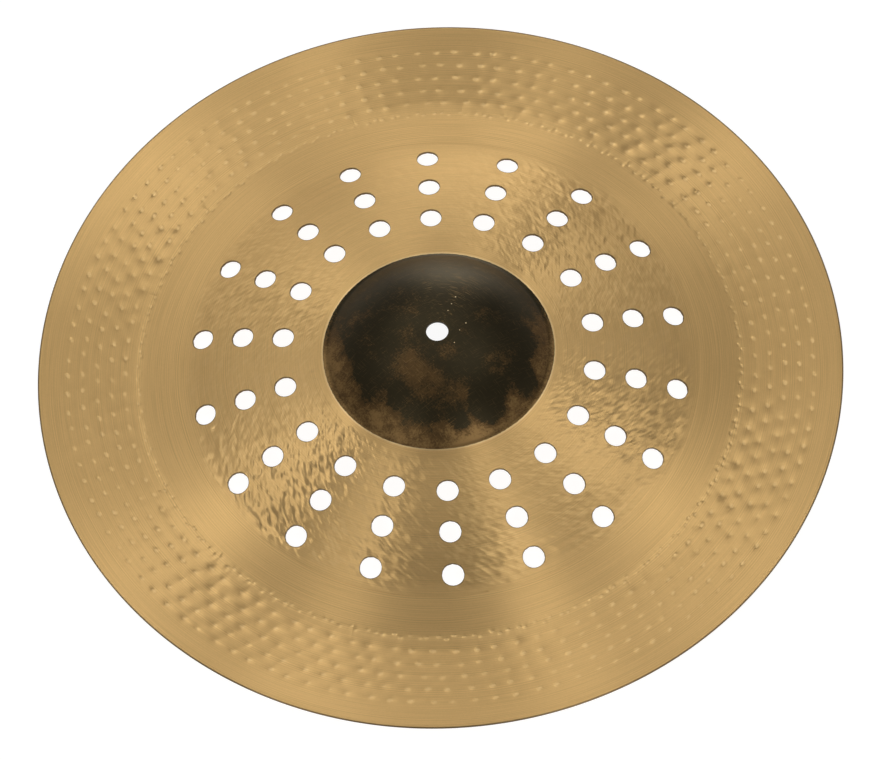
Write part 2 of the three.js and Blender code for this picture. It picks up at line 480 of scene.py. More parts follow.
def mark_places(hammering, row, mark):
    """Angle, radius and strength of the marks of a row."""
    marks = marks_in(hammering, row)
    kind = min(row, 1)
    shift = MARK_SHIFT[kind] * unevenness(mark, row, SHIFT_PACE)
    turn = FULL_TURN * (mark + 0.5 + row * hammering.row_lead + shift) / marks
    wander = ROW_WANDER * np.sin(WANDER_WAVES * turn + row)
    wander = wander + MARK_SCATTER[kind] * unevenness(mark, row, SCATTER_PACE)
    radius = hammering.dense_row_radius + row * hammering.row_pitch + wander
    return turn, radius, 1 + STRENGTH_SWING * unevenness(mark, row, STRENGTH_PACE)


def hollow(aside, outwards):
    """1 in the middle, and 0 from distance 1 on: the square of 1 less the squared distance."""
    return np.clip(1 - aside**2 - outwards**2, 0, None) ** 2


def dish(aside, outwards):
    """1 in the middle, and 0 from distance 1 on: 1 less the squared distance."""
    return np.clip(1 - aside**2 - outwards**2, 0, None)


# The dense row's marks and hollows against those of the open rows
DENSE_SIZE = 0.68
DENSE_DEPTH = 0.5
DENSE_HOLLOW_DEPTH = 0.25
DENSE_HOLLOW_LENGTH = 0.45

# Half a hollow along its row, in marks, and across it, in rows
HOLLOW_HALF_WIDTH = 0.44
HOLLOW_HALF_LENGTH = 0.48

# How much the hollows lose from one row to the next outwards, as the rate of a decay
HOLLOW_LOSS = 0.25

# How far a hollow strays from its mark, in half hollows, and the swing of its depth
HOLLOW_STRAY = 0.3
HOLLOW_SWING = 0.45


def mark_size(hammering, row):
    """Half a mark of a row, the long way and the short way."""
    share = 1 if row else DENSE_SIZE
    return hammering.mark_half_length * share, hammering.mark_half_width * share


def mark_reach(hammering, row):
    """How far a mark reaches along its row and across it, which its lean mixes."""
    sine, cosine = math.sin(hammering.mark_lean), math.cos(hammering.mark_lean)
    long, short = mark_size(hammering, row)
    return math.hypot(long * cosine, short * sine), math.hypot(long * sine, short * cosine)


def mark_dents(hammering, radius, turn):
    """Depths of the marks and of the wide hollows round them, and how far a point is in a mark."""
    marked, hollowed, inside = np.zeros((3, *np.broadcast(radius, turn).shape))
    lean = hammering.mark_lean
    for row in range(hammering.open_rows + 1):
        dense = row == 0
        marks = marks_in(hammering, row)
        long, short = mark_size(hammering, row)
        depth = hammering.mark_depth * (DENSE_DEPTH if dense else 1)
        loss = DENSE_HOLLOW_DEPTH if dense else math.exp(-HOLLOW_LOSS * (row - 1))
        half_length = hammering.row_pitch * HOLLOW_HALF_LENGTH
        half_length = half_length * (DENSE_HOLLOW_LENGTH if dense else 1)
        for neighbour in (-1, 0, 1):
            mark = np.floor(turn * marks / FULL_TURN - row * hammering.row_lead) + neighbour
            middle, centre, strength = mark_places(hammering, row, mark % marks)
            aside = wrapped(turn - middle) * radius
            outwards = radius - centre
            pitch = FULL_TURN * centre / marks
            along = aside * math.cos(lean) + outwards * math.sin(lean)
            across = outwards * math.cos(lean) - aside * math.sin(lean)
            bowl = dish(along / long, across / short)
            marked += depth * strength * bowl
            inside = np.maximum(inside, bowl * strength)
            astray = [HOLLOW_STRAY * unevenness(mark, row, pace) for pace in ASTRAY_PACES]
            swing = 1 + HOLLOW_SWING * unevenness(mark, row, HOLLOW_PACE)
            aside = aside / (HOLLOW_HALF_WIDTH * pitch) - astray[0]
            outwards = outwards / half_length - astray[1]
            hollowed += hammering.hollow_depth * loss * swing * hollow(aside, outwards)
    return marked, hollowed, inside


# Where the grid has points round a mark, in half marks, and between marks, in shares of the gap
MARK_STATIONS = np.array([-1.0, -0.5, 0, 0.5, 1.0])
GAP_SHARES = np.array([0.5])


def mark_grid(hammering, row):
    """Radii and angles of a grid whose columns and rows crowd round the marks of one row."""
    middle, centre, _ = mark_places(hammering, row, np.arange(marks_in(hammering, row)))
    aside, outwards = mark_reach(hammering, row)
    near = middle[:, None] + MARK_STATIONS * aside / centre[:, None]
    gap = np.append(near[1:, 0], near[0, 0] + FULL_TURN) - near[:, -1]
    between = near[:, -1:] + gap[:, None] * GAP_SHARES
    turn = np.concatenate([near, between], axis=1).ravel()
    way = np.append(np.zeros(len(MARK_STATIONS)), GAP_SHARES)
    radius = centre[:, None] * (1 - way) + np.roll(centre, -1)[:, None] * way
    radius = radius.ravel() + MARK_STATIONS[:, None] * outwards
    return radius, np.broadcast_to(turn, radius.shape)


def gap_grid(inner, outer):
    """Radii and angles of one row of points half way between two grids, on the inner's columns."""
    inner_radius, inner_turn = inner
    step = (outer[0][0].mean() - inner_radius[-1].mean()) / 2
    return inner_radius[-1:] + step, inner_turn[-1:]


class Surface:
    """Collects rows of points round the axis, and the faces between them, into one closed mesh.

    The rows follow the sheet's section: outwards over the upper face, round the rim, inwards
    under the sheet and back up the rod hole. So all faces turn the same way, out of the bronze.
    """

    def __init__(self):
        self.points = []
        self.masks = []
        self.count = 0
        self.faces = {3: [], 4: []}
        self.paints = {3: [], 4: []}
        self.first = None
        self.last = None

    def fill(self, faces, paint):
        """Adds faces, given by the numbers of their points, with one material."""
        corners = faces.shape[-1]
        self.faces[corners].append(faces.reshape(-1, corners))
        self.paints[corners].append(np.full(faces.size // corners, paint))

    def lay(self, points, turn, paint, mask=0.0, kept=None):
        """Adds a grid of points, joins it to the row before it and fills its cells, or those kept."""
        numbers = self.count + np.arange(points[..., 0].size).reshape(points.shape[:-1])
        self.points.append(points.reshape(-1, 3))
        self.masks.append(np.broadcast_to(mask, numbers.shape).ravel())
        self.count += numbers.size
        turn = np.broadcast_to(turn, numbers.shape)
        if self.last:
            self.zip(*self.last, numbers[0], turn[0], paint)
        else:
            self.first = numbers[0], turn[0]
        self.last = numbers[-1], turn[-1]
        ahead = np.roll(numbers, -1, axis=1)
        cells = np.stack([numbers[:-1], numbers[1:], ahead[1:], ahead[:-1]], axis=-1)
        self.fill(cells if kept is None else cells[kept], paint)
        return numbers

    def zip(self, here, here_turn, there, there_turn, paint):
        """Fills the strip between two closed rows that may differ in their number of points.

        The edges of both are put in order of the angle of their middles. Each makes a triangle
        with the point that the strip has reached by then in the other row.
        """
        nearest = np.argmin(abs(wrapped(there_turn - here_turn[0])))
        there = np.roll(there, -nearest)
        there_turn = np.unwrap(np.roll(there_turn, -nearest))
        lead = wrapped(there_turn[0] - here_turn[0])
        there_turn = there_turn - there_turn[0] + here_turn[0] + lead
        middles = np.append(edge_middles(here_turn), edge_middles(there_turn))
        own = np.argsort(middles, kind="stable") < len(here)
        passed_here = np.cumsum(own) - own
        passed_there = np.cumsum(~own) - ~own
        after = np.where(
            own, here[(passed_here + 1) % len(here)], there[(passed_there + 1) % len(there)]
        )
        before = here[passed_here % len(here)], there[passed_there % len(there)]
        self.fill(np.stack([*before, after], axis=-1), paint)

    def close(self, paint):
        """Joins the last row to the first."""
        self.zip(*self.last, *self.first, paint)

    def mesh(self, name):
        """The finished mesh, its quads before its triangles, without points that no face uses."""
        faces = {corners: np.concatenate(self.faces[corners]) for corners in (4, 3)}
        used, loops = np.unique(
            np.concatenate([faces[4].ravel(), faces[3].ravel()]), return_inverse=True
        )
        sizes = np.repeat([4, 3], [len(faces[4]), len(faces[3])])
        mesh = bpy.data.meshes.new(name)
        mesh.vertices.add(len(used))
        mesh.vertices.foreach_set("co", np.concatenate(self.points)[used].ravel())
        mesh.loops.add(len(loops))
        mesh.loops.foreach_set("vertex_index", loops.ravel())
        mesh.polygons.add(len(sizes))
        mesh.polygons.foreach_set("loop_start", np.cumsum(sizes) - sizes)
        paints = np.concatenate(self.paints[4] + self.paints[3])
        mesh.polygons.foreach_set("material_index", paints)
        mesh.attributes.new(UNLATHED_AND_EDGE_SHADE, "FLOAT", "POINT")
        mesh.attributes[UNLATHED_AND_EDGE_SHADE].data.foreach_set("value", np.concatenate(self.masks)[used])
        mesh.update(calc_edges=True)
        if mesh.validate():
            raise RuntimeError(f"the mesh of {name} had faults")
        return mesh


def edge_middles(turn):
    """Angle of the middle of each edge of a closed row, whose angles grow along it."""
    return (turn + np.append(turn[1:], turn[0] + FULL_TURN)) / 2


# Materials of the sheet's faces, in the order of the mesh's slots
BRONZE, BELL, UNDER, WALL = range(4)

# Attribute of the mesh for how little the lathe reaches a place: it grows from 0 to about 1 towards the
# middle of a mark. It is also 1 at the edges of the holes, where the material paints a darker line of
# shade
UNLATHED_AND_EDGE_SHADE = "unlathed_and_edge_shade"

# How far the bell's faces and its material reach out over the bow
SKIN_REACH = 0.0022

# Radii between which the hollows start to bulge out of the under face, outside its lowest ring
BULGES_SET_IN = (0.190, 0.199)

# Points round the axis in the rows of each zone
BELL_COLUMNS = 240
PLAIN_COLUMNS = 540
EDGE_COLUMNS = 432
UNDER_BELL_COLUMNS = 216
UNDER_COLUMNS = 324
RIM_STEPS = 6

# Cells along each turned stretch of the upper face, and of the under face
SEAT_CELLS = 2
DOME_CELLS = 22
FOOT_CELLS = 8
BOW_START_CELLS = 6
CONE_CELLS = 10
RIM_CELLS = 6
UNDER_SEAT_CELLS = 1
UNDER_DOME_CELLS = 14
UNDER_FOOT_CELLS = 4
UNDER_BOW_START_CELLS = 4
UNDER_OUTER_CELLS = 25

# Strips left between two stretches for the triangles that join them: at the bell's skin, beside
# the pierced band, beside the marks, and beside the pierced band of the under face
SKIN_STRIP = 0.0009
BAND_STRIP_INSIDE = 0.0013
BAND_STRIP_OUTSIDE = 0.0015
MARK_STRIP_INSIDE = 0.0015
MARK_STRIP_OUTSIDE = 0.0012
UNDER_STRIP = 0.0025


def spaced(start, end, cells):
    """Radii of the rows over a stretch that is cut into so many cells, with both ends."""
    return np.linspace(start, end, cells + 1)


def sheet_mesh(section, holes, hammering):
    """The whole sheet: upper face, rim, under face, walls of the sound holes and the rod hole."""
    line = MiddleLine(section)
    surface = Surface()
    start, seat, foot, bell = line.edges[:4]

    def hammered(radius, turn, side, paint, at_hole=0.0, kept=None):
        """Lays a grid of one face, moved into the sheet by its dents."""
        marked, hollowed, inside = mark_dents(hammering, radius, turn)
        if side > 0:
            dent = marked + hollowed + stroke_dents(hammering, radius, turn)
        else:
            dent = hollowed * smooth_step(*BULGES_SET_IN, radius)
            inside = 0.0
        points = line.face(radius, turn, side, dent)
        # The attribute holds how far a point is in a mark, and 1 on a hole's edge, where the material
        # paints shade
        return surface.lay(points, turn, paint, np.maximum(inside, at_hole), kept)

    def turned(radii, columns, side, paint):
        """Lays rows of evenly spread points of one face."""
        turn = drifted_turns(holes, columns)
        hammered(np.asarray(radii)[:, None], turn, side, paint)

    upper = PiercedBand(line, section, holes, UPPER_GRID)
    under = PiercedBand(line, section, holes, UNDER_GRID)
    band_start, band_end = upper.radius[0, 0], upper.radius[-1, 0]
    marked_rows = [mark_grid(hammering, row) for row in range(hammering.open_rows + 1)]
    marks_start, marks_end = marked_rows[0][0].min(), marked_rows[-1][0].max()
    skin_end = bell + SKIN_REACH
    dome = [*spaced(start, seat, SEAT_CELLS), *spaced(seat, foot, DOME_CELLS)[1:]]
    turned(dome, BELL_COLUMNS, 1, BELL)
    turned(spaced(foot, skin_end, FOOT_CELLS)[1:], BELL_COLUMNS, 1, BELL)
    bow_start = spaced(skin_end + SKIN_STRIP, band_start - BAND_STRIP_INSIDE, BOW_START_CELLS)
    turned(bow_start, PLAIN_COLUMNS, 1, BRONZE)
    upper_numbers = hammered(
        upper.radius, upper.turn, 1, BRONZE, at_hole=upper.at_hole, kept=upper.kept
    )
    cone = spaced(band_end + BAND_STRIP_OUTSIDE, marks_start - MARK_STRIP_INSIDE, CONE_CELLS)
    turned(cone, PLAIN_COLUMNS, 1, BRONZE)
    for here, following in zip(marked_rows, marked_rows[1:]):
        hammered(*here, 1, BRONZE)
        hammered(*gap_grid(here, following), 1, BRONZE)
    hammered(*marked_rows[-1], 1, BRONZE)
    edge = spaced(marks_end + MARK_STRIP_OUTSIDE, line.end, RIM_CELLS)
    turned(edge, EDGE_COLUMNS, 1, BRONZE)
    edge_turn = drifted_turns(holes, EDGE_COLUMNS)
    surface.lay(line.rim(edge_turn, RIM_STEPS), edge_turn, BRONZE)
    under_outer = spaced(line.end, band_end + UNDER_STRIP, UNDER_OUTER_CELLS)
    turned(under_outer, UNDER_COLUMNS, -1, UNDER)
    under_numbers = hammered(
        under.radius[::-1],
        under.turn[::-1],
        -1,
        UNDER,
        at_hole=under.at_hole[::-1],
        kept=under.kept[::-1],
    )[::-1]
    under_bow_start = spaced(band_start - UNDER_STRIP, bell, UNDER_BOW_START_CELLS)
    turned(under_bow_start, UNDER_BELL_COLUMNS, -1, UNDER)
    under_foot = spaced(bell, foot, UNDER_FOOT_CELLS)[1:]
    under_dome = spaced(foot, seat, UNDER_DOME_CELLS)[1:]
    turned([*under_foot, *under_dome], UNDER_BELL_COLUMNS, -1, BELL)
    turned(spaced(seat, start, UNDER_SEAT_CELLS)[1:], UNDER_BELL_COLUMNS, -1, BELL)
    surface.close(BELL)
    for above, below in zip(upper.hole_edges(upper_numbers), under.hole_edges(under_numbers)):
        surface.zip(*above, *below, WALL)
    return surface.mesh(SHEET_NODE)


class Value:
    """A value in a material: arithmetic on it adds the Math nodes that work it out."""

    def __init__(self, nodes, socket):
        self.nodes = nodes
        self.socket = socket

    def math(self, operation, *values):
        """What a Math node makes of the values."""
        return self.nodes.add("ShaderNodeMath", {"operation": operation}, dict(enumerate(values)))

    def __add__(self, other):
        return self.math("ADD", self, other)

    def __radd__(self, other):
        return self.math("ADD", other, self)

    def __sub__(self, other):
        return self.math("SUBTRACT", self, other)

    def __rsub__(self, other):
        return self.math("SUBTRACT", other, self)

    def __mul__(self, other):
        return self.math("MULTIPLY", self, other)

    def __rmul__(self, other):
        return self.math("MULTIPLY", other, self)

    def __truediv__(self, other):
        return self.math("DIVIDE", self, other)

    def __pow__(self, other):
        return self.math("POWER", self, other)


class Nodes:
    """The nodes of one material or world."""

    def __init__(self, owner):
        owner.use_nodes = True
        self.tree = owner.node_tree
        self.tree.nodes.clear()

    def add(self, kind, settings, sockets, output=0):
        """Adds a node with its settings, then with the values or links of its sockets."""
        node = self.tree.nodes.new(kind)
        for name, setting in settings.items():
            setattr(node, name, setting)
        for name, value in sockets.items():
            if isinstance(value, Value):
                self.tree.links.new(value.socket, node.inputs[name])
            else:
                node.inputs[name].default_value = value
        return Value(self, node.outputs[output]) if node.outputs else node

    def mix_colours(self, factor, first, second):
        """A colour between two colours."""
        settings = {"data_type": "RGBA"}
        return self.add("ShaderNodeMix", settings, {0: factor, 6: first, 7: second}, output=2)

    def step(self, low, high, value):
        """A smooth step from 0 to 1 as the value goes from low to high."""
        settings = {"interpolation_type": "SMOOTHSTEP"}
        return self.add("ShaderNodeMapRange", settings, {"Value": value, 1: low, 2: high})

    def noise(self, vector, scale, detail=2.0, roughness=0.5):
        """Noise between 0 and 1."""
        sockets = {"Vector": vector, "Scale": scale, "Detail": detail, "Roughness": roughness}
        return self.add("ShaderNodeTexNoise", {}, sockets)

    def vector(self, x, y, z):
        """A vector with these three parts."""
        return self.add("ShaderNodeCombineXYZ", {}, {0: x, 1: y, 2: z})

    def mixed(self, factor, first, second):
        """A shader between two shaders."""
        return self.add("ShaderNodeMixShader", {}, {0: factor, 1: first, 2: second})

    def finish(self, shader):
        """Makes a shader the material's surface."""
        self.add("ShaderNodeOutputMaterial", {}, {"Surface": shader})


def opaque(rgb):
    """A colour with its alpha."""
    return (*rgb, 1.0)


def off_middle(value):
    """How far a value that goes from 0 to 1 is off its middle."""
    return value - 0.5


# The materials count in millimetres: how many make a metre
MILLIMETRES = 1000

# Radius at the middle of the bow, where the sizes of the strokes' facets hold
MIDDLE_OF_BOW = 112.0

# Noise that makes the lathe's rings wander: cells to a radian and to a millimetre
RING_WANDER = (2.0, 0.12)

# Levels of the noise between which a scratch deepens
SCRATCH_LEVELS = (0.62, 0.72)

# How much the facets of hammer strokes run into each other, the noise of the streaks in them, and
# the shares of both in the facets' tilt
FACET_SMOOTHNESS = 0.5
STREAK_SCALE, STREAK_DETAIL = 0.9, 0.5
FACET_SHARE, STREAK_SHARE = 0.5, 2.0


class PolarPlace:
    """Place on the sheet in a material: radius in millimetres and the sine and cosine of the turn."""

    def __init__(self, nodes):
        self.nodes = nodes
        place = nodes.add("ShaderNodeTexCoord", {}, {}, output="Object")
        parts = nodes.add("ShaderNodeSeparateXYZ", {}, {0: place})
        outputs = parts.socket.node.outputs
        self.place = place
        self.x = Value(nodes, outputs[0]) * MILLIMETRES
        self.y = Value(nodes, outputs[1]) * MILLIMETRES
        self.radius = (self.x * self.x + self.y * self.y) ** 0.5
        self.cosine = self.x / self.radius
        self.sine = self.y / self.radius
        self.turn = self.y.math("ARCTAN2", self.y, self.x)

    def zone(self, start, whole, ending, over):
        """A zone of radii: 0 up to its start, 1 from the whole to the ending, and 0 once it is over."""
        nodes = self.nodes
        return nodes.step(start, whole, self.radius) * (1 - nodes.step(ending, over, self.radius))

    def streaks(self, along, out, detail=2.0):
        """Noise drawn out along the circle: so many cells to a radian, and so many to a millimetre."""
        vector = self.nodes.vector(self.cosine * along, self.sine * along, self.radius * out)
        return self.nodes.noise(vector, 1.0, detail)

    def ridges(self, pitch, wander):
        """Rings at a pitch in millimetres that wander a little: 0 in the valleys and 1 on top."""
        phase = self.radius * (FULL_TURN / pitch) + self.streaks(*RING_WANDER) * wander
        return phase.math("SINE", phase) * 0.5 + 0.5

    def scratches(self, lean, length, width):
        """Thin straight scratches at an angle, sized in millimetres: 1 in them and 0 off them."""
        along = self.x * (math.cos(lean) / length) + self.y * (math.sin(lean) / length)
        across = self.y * (math.cos(lean) / width) - self.x * (math.sin(lean) / width)
        drawn = self.nodes.noise(self.nodes.vector(along, across, 0.0), 1.0, detail=1.0)
        return self.nodes.step(*SCRATCH_LEVELS, drawn)

    def near(self, x, y, low, high, ragged=0.0):
        """1 within the low distance of a spot seen from above, and 0 from the high one on."""
        flat = self.nodes.vector(self.x, self.y, 0.0)
        settings = {"operation": "DISTANCE"}
        away = self.nodes.add("ShaderNodeVectorMath", settings, {0: flat, 1: (x, y, 0)}, output=1)
        return 1 - self.nodes.step(low, high, away + ragged)

    def leaning(self, lean, length, width):
        """Place counted in strokes that lean outwards from the circle, sized in millimetres.

        It is the cosine and sine of a swirl, and the radius. The swirl's lean and the cells of
        both are those that make one step along or across a stroke one unit at the bow's middle.
        """
        crossing, following = 1 / width**2, 1 / length**2
        sine, cosine = math.sin(lean), math.cos(lean)
        aside = crossing * sine**2 + following * cosine**2
        skewed = (crossing - following) * sine * cosine
        outwards = crossing * cosine**2 + following * sine**2
        log_radius = self.radius.math("LOGARITHM", self.radius, math.e)
        swirl = self.turn - log_radius * (skewed / aside)
        cells = MIDDLE_OF_BOW * math.sqrt(aside)
        cosine = swirl.math("COSINE", swirl)
        sine = swirl.math("SINE", swirl)
        cell_rows = self.radius * math.sqrt(outwards - skewed**2 / aside)
        return self.nodes.vector(cosine * cells, sine * cells, cell_rows), (0 - sine, cosine)

    def facet_tilt(self, lean, length, width, chance, bowl):
        """Tilt along the circle of the facets that a hammer leaves, which lean like the strokes.

        Each facet has a chance tilt of its own, and streaks of noise change it a little. To this
        its bowl adds a tilt towards the facet's middle that grows with the way from there.
        """
        nodes = self.nodes
        strokes, (aside_x, aside_y) = self.leaning(lean, length, width)
        settings = {"feature": "SMOOTH_F1"}
        sockets = {"Vector": strokes, "Scale": 1.0, "Smoothness": FACET_SMOOTHNESS}
        facets = nodes.add("ShaderNodeTexVoronoi", settings, sockets).socket.node.outputs
        draw = nodes.add("ShaderNodeSeparateXYZ", {}, {0: Value(nodes, facets["Color"])})
        middle = Value(nodes, facets["Position"])
        off = nodes.add("ShaderNodeVectorMath", {"operation": "SUBTRACT"}, {0: strokes, 1: middle})
        aside = nodes.add(
            "ShaderNodeVectorMath",
            {"operation": "DOT_PRODUCT"},
            {0: off, 1: nodes.vector(aside_x, aside_y, 0.0)},
            output=1,
        )
        streak = nodes.noise(strokes, STREAK_SCALE, STREAK_DETAIL)
        tilt = off_middle(draw) * FACET_SHARE + off_middle(streak) * STREAK_SHARE
        return tilt * chance - aside * bowl

    def tilted(self, normal, tilt):
        """A normal that leans along the circle by a tilt in radians."""
        nodes = self.nodes
        circle = nodes.vector(0 - self.sine, self.cosine, 0.0)
        leaned = nodes.add(
            "ShaderNodeVectorMath", {"operation": "MULTIPLY_ADD"}, {0: circle, 1: tilt, 2: normal}
        )
        return nodes.add("ShaderNodeVectorMath", {"operation": "NORMALIZE"}, {0: leaned})


def material(name):
    """An empty material with its nodes."""
    made = bpy.data.materials.new(name)
    return made, Nodes(made)


def bumped(nodes, height):
    """The normal of a surface with small heights, in millimetres."""
    sockets = {"Strength": 1.0, "Distance": 1 / MILLIMETRES, "Height": height}
    return nodes.add("ShaderNodeBump", {}, sockets)


# Turn of the gloss that draws a reflection out across the grooves, as a share of a full turn
ACROSS_THE_GROOVES = 0.25


def metal(nodes, base, roughness, normal, draw, metallic=1.0):
    """A metal's shader: the lathe's grooves draw a reflection out across them."""
    sockets = {
        "Base Color": base,
        "Metallic": metallic,
        "Roughness": roughness,
        "Anisotropic": draw,
        "Anisotropic Rotation": ACROSS_THE_GROOVES,
        "Normal": normal,
    }
    return nodes.add("ShaderNodeBsdfPrincipled", {}, sockets)


# Zones of the upper face by their radii: where each starts, is whole, ends and is over
BOW_ZONE = (70.6, 74.8, 149.0, 157.0)
CONE_ZONE = (150.0, 156.0, 167.0, 174.0)
DENSE_ZONE = (177.0, 180.0, 182.0, 185.0)

# Radii between which the flange's finish, and the darker edge of the rim, a painted shade, set in
FLANGE_SETS_IN = (165.0, 170.0)
RIM_SETS_IN = (240.1, 240.8)

# Noise of the lathe's grooves and of its wide rings: cells to a radian and to a millimetre, and
# its detail
GROOVES = (5.0, 1.55, 1.0)
WIDE_RINGS = (1.0, 0.2, 2.0)

# Levels of the wide rings between which the fine lines deepen, in groups
GROUP_LEVELS = (0.5, 0.64)

# Two sets of fine lines: the pitch, the wander in radians and the share of each. One set of
# coarse lines, on the cone: pitch and wander
FINE_LINES = ((1.17, 9.0, 0.6), (1.46, 7.0, 0.4))
COARSE_LINES = (2.1, 5.0)

# Cells to a metre, and detail, of the noise of wide patches and of fine grain
PATCHES = (9.0, 3.0)
GRAIN = (900.0, 1.0)

# How much each of these changes the tone, whose middle is here
TONE_MIDDLE = 0.5
GROOVE_TONE = 0.35
WIDE_RING_TONE = 0.1
FINE_LINE_TONE = 0.1
GROUPED_LINE_TONE = 0.22
COARSE_LINE_TONE = 0.2
PATCH_TONE = 0.35
GRAIN_TONE = 0.12

# How much more the fine lines show on the cone, and how much less on the bow
CONE_LINE_GAIN = 0.8
BOW_LINE_LOSS = 0.3

# Tones between which the bronze goes from light to deep
TONE_LEVELS = (0.3, 0.7)

# Facets of the strokes on the bow, and of the chipped marks of the dense row: length and width,
# tilt by chance, and tilt of the bowl
STROKE_FACETS = (4.4, 1.25, 0.07, 0.012)
CHIP_LEAN = math.radians(-55)
CHIP_FACETS = (2.4, 1.2, 0.05, 0.01)

# Tilts along the circle between which a stroke's facet is painted paler, a painted highlight, and how
# pale it gets by a usual stroke
GLINT_TILTS = (-0.01, 0.04)
GLINT_SHARE = 0.05

# How far into a mark its core turns pale, and how pale it gets
CORE_LEVELS = (0.1, 1.2)
CORE_SHARE = 0.2

# Levels of the mesh's attribute between which the edge of a hole is painted darker as shade, a mark
# deepens, and the lathe's gloss gives way to a beaten one
HOLE_EDGE_LEVELS = (0.62, 0.9)
MARK_LEVELS = (0.0, 0.75)
BEATEN_LEVELS = (0.05, 0.35)

# Share of the beaten gloss all along the dense row
BEATEN_DENSE_SHARE = 0.25

# Heights of the grooves, and of the marks beside those of the mesh
GROOVE_HEIGHT = 0.03
MARK_HEIGHT = 0.07


def lathed_tone(nodes, place, grooves, bow):
    """Tone of the lathed bronze, light when low: it adds up grooves, rings, lines, patches and grain."""
    rings = place.streaks(*WIDE_RINGS)
    groups = nodes.step(*GROUP_LEVELS, rings)
    cone = place.zone(*CONE_ZONE)
    fine, finer = (place.ridges(pitch, wander) * share for pitch, wander, share in FINE_LINES)
    line_tone = FINE_LINE_TONE + groups * GROUPED_LINE_TONE
    line_tone = line_tone * (1 + cone * CONE_LINE_GAIN - bow * BOW_LINE_LOSS)
    tone = TONE_MIDDLE + off_middle(grooves) * GROOVE_TONE + off_middle(rings) * WIDE_RING_TONE
    tone = tone + off_middle(fine + finer) * line_tone
    tone = tone + off_middle(nodes.noise(place.place, *PATCHES)) * PATCH_TONE
    tone = tone + off_middle(nodes.noise(place.place, *GRAIN)) * GRAIN_TONE
    return tone + off_middle(place.ridges(*COARSE_LINES)) * cone * groups * COARSE_LINE_TONE


def lathed_shader(nodes, place, finish, hammering, stroke_tilt, peening=0.0, bright=0.0):
    """Bronze cut by the lathe, which leaves its grooves and hardly reaches into the marks.

    The strokes on the bow and the chips of the dense row tilt it along the circle, and where a stroke's
    facet tilts one way it is painted paler, a painted highlight. The rim's edge and the holes' edges are
    painted darker, a painted shade. Inside a mark the gloss is partly the even one of beaten bronze.
    """
    grooves = place.streaks(*GROOVES)
    bow = place.zone(*BOW_ZONE)
    swing = stroke_swing(place.turn, lambda angle: angle.math("COSINE", angle)) * stroke_tilt
    facets = place.facet_tilt(hammering.stroke_lean, *STROKE_FACETS)
    chips = place.facet_tilt(CHIP_LEAN, *CHIP_FACETS)
    dense = place.zone(*DENSE_ZONE) * peening
    flange = nodes.step(*FLANGE_SETS_IN, place.radius)
    unlathed_and_edge_shade = nodes.add("ShaderNodeAttribute", {"attribute_name": UNLATHED_AND_EDGE_SHADE}, {}, output=2)
    marks = unlathed_and_edge_shade * flange

    light, deep = opaque(finish.bronze_light), opaque(finish.bronze_deep)
    pale = opaque(finish.bronze_and_painted_highlight)
    tone = lathed_tone(nodes, place, grooves, bow)
    base = nodes.mix_colours(nodes.step(*TONE_LEVELS, tone), light, deep)
    # Painted highlight: the paler line beyond the bell's skin, where the bell's material asks for it
    base = nodes.mix_colours(bright, base, pale)
    # Painted highlight: bow facets that tilt one way along the circle are painted paler
    painted_glints = nodes.step(*GLINT_TILTS, facets) * bow * swing * GLINT_SHARE
    base = nodes.mix_colours(painted_glints, base, pale)
    base = nodes.mix_colours(nodes.step(*CORE_LEVELS, marks) * CORE_SHARE, base, pale)
    # Painted shade: the rim's edge and the edges of the holes are painted in the darker edge colour
    at_rim = nodes.step(*RIM_SETS_IN, place.radius)
    at_hole = nodes.step(*HOLE_EDGE_LEVELS, unlathed_and_edge_shade) * (1 - flange)
    cut = at_rim.math("MAXIMUM", at_rim, at_hole)
    base = nodes.mix_colours(cut, base, opaque(finish.painted_edge_shade))

    height = grooves * GROOVE_HEIGHT - nodes.step(*MARK_LEVELS, marks) * (MARK_HEIGHT * peening)
    normal = place.tilted(bumped(nodes, height), facets * bow * swing + chips * dense)
    lathed = metal(nodes, base, finish.bronze_roughness, normal, finish.lathe_draw)
    beaten = metal(nodes, base, finish.mark_roughness, normal, draw=0.0)
    share = nodes.step(*BEATEN_LEVELS, marks) * finish.mark_share
    share = share.math("MAXIMUM", share, dense * BEATEN_DENSE_SHARE)
    return nodes.mixed(share, lathed, beaten)


# Where the bell's skin is worn brown, and where it stayed black: the spot seen from above in
# millimetres, how far it reaches, and how much more it is worn
WORN_PLACES = (
    (-19, -21, 17, 0.15),
    (-8, -32, 16, 0.15),
    (31, 9, 11, 0.12),
    (5, -14, 8, 0.14),
    (33, -21, 11, 0.14),
    (14, -38, 11, 0.16),
    (-16, 23, 14, 0.08),
    (16, -50, 7, 0.16),
    (27, -44, 15, -0.35),
    (10, -56, 9, -0.35),
    (47, -30, 15, -0.35),
    (-44, -23, 15, -0.16),
    (-28, -38, 11, -0.16),
)

# Tiny bright nicks in the skin, seen from above, and how far each reaches, in millimetres
NICKS = (
    (12.4, 23.5, 0.55),
    (9.7, 18.4, 0.45),
    (7.3, 13.6, 0.35),
    (17.3, 4.3, 0.55),
    (13.3, -0.3, 0.4),
    (9.6, -8.6, 0.4),
)


# How near its middle a worn place is worn in full, as a share of its reach, and a nick is bare
WORN_CORE_SHARE = 0.35
NICK_CORE = 0.1

# Noise of the skin's clouds and of its speckle: cells to a metre, detail and roughness
CLOUDS = (42.0, 8.0, 0.68)
SPECKLE = (900.0, 2.0, 0.6)

# How far the clouds fray the edges of the worn places, and that of the foot
WORN_FRAY = 24
FOOT_FRAY = 20

# Share of the way to the front between which the front of the bell sets in
FRONT_LEVELS = (-0.5, 0.15)

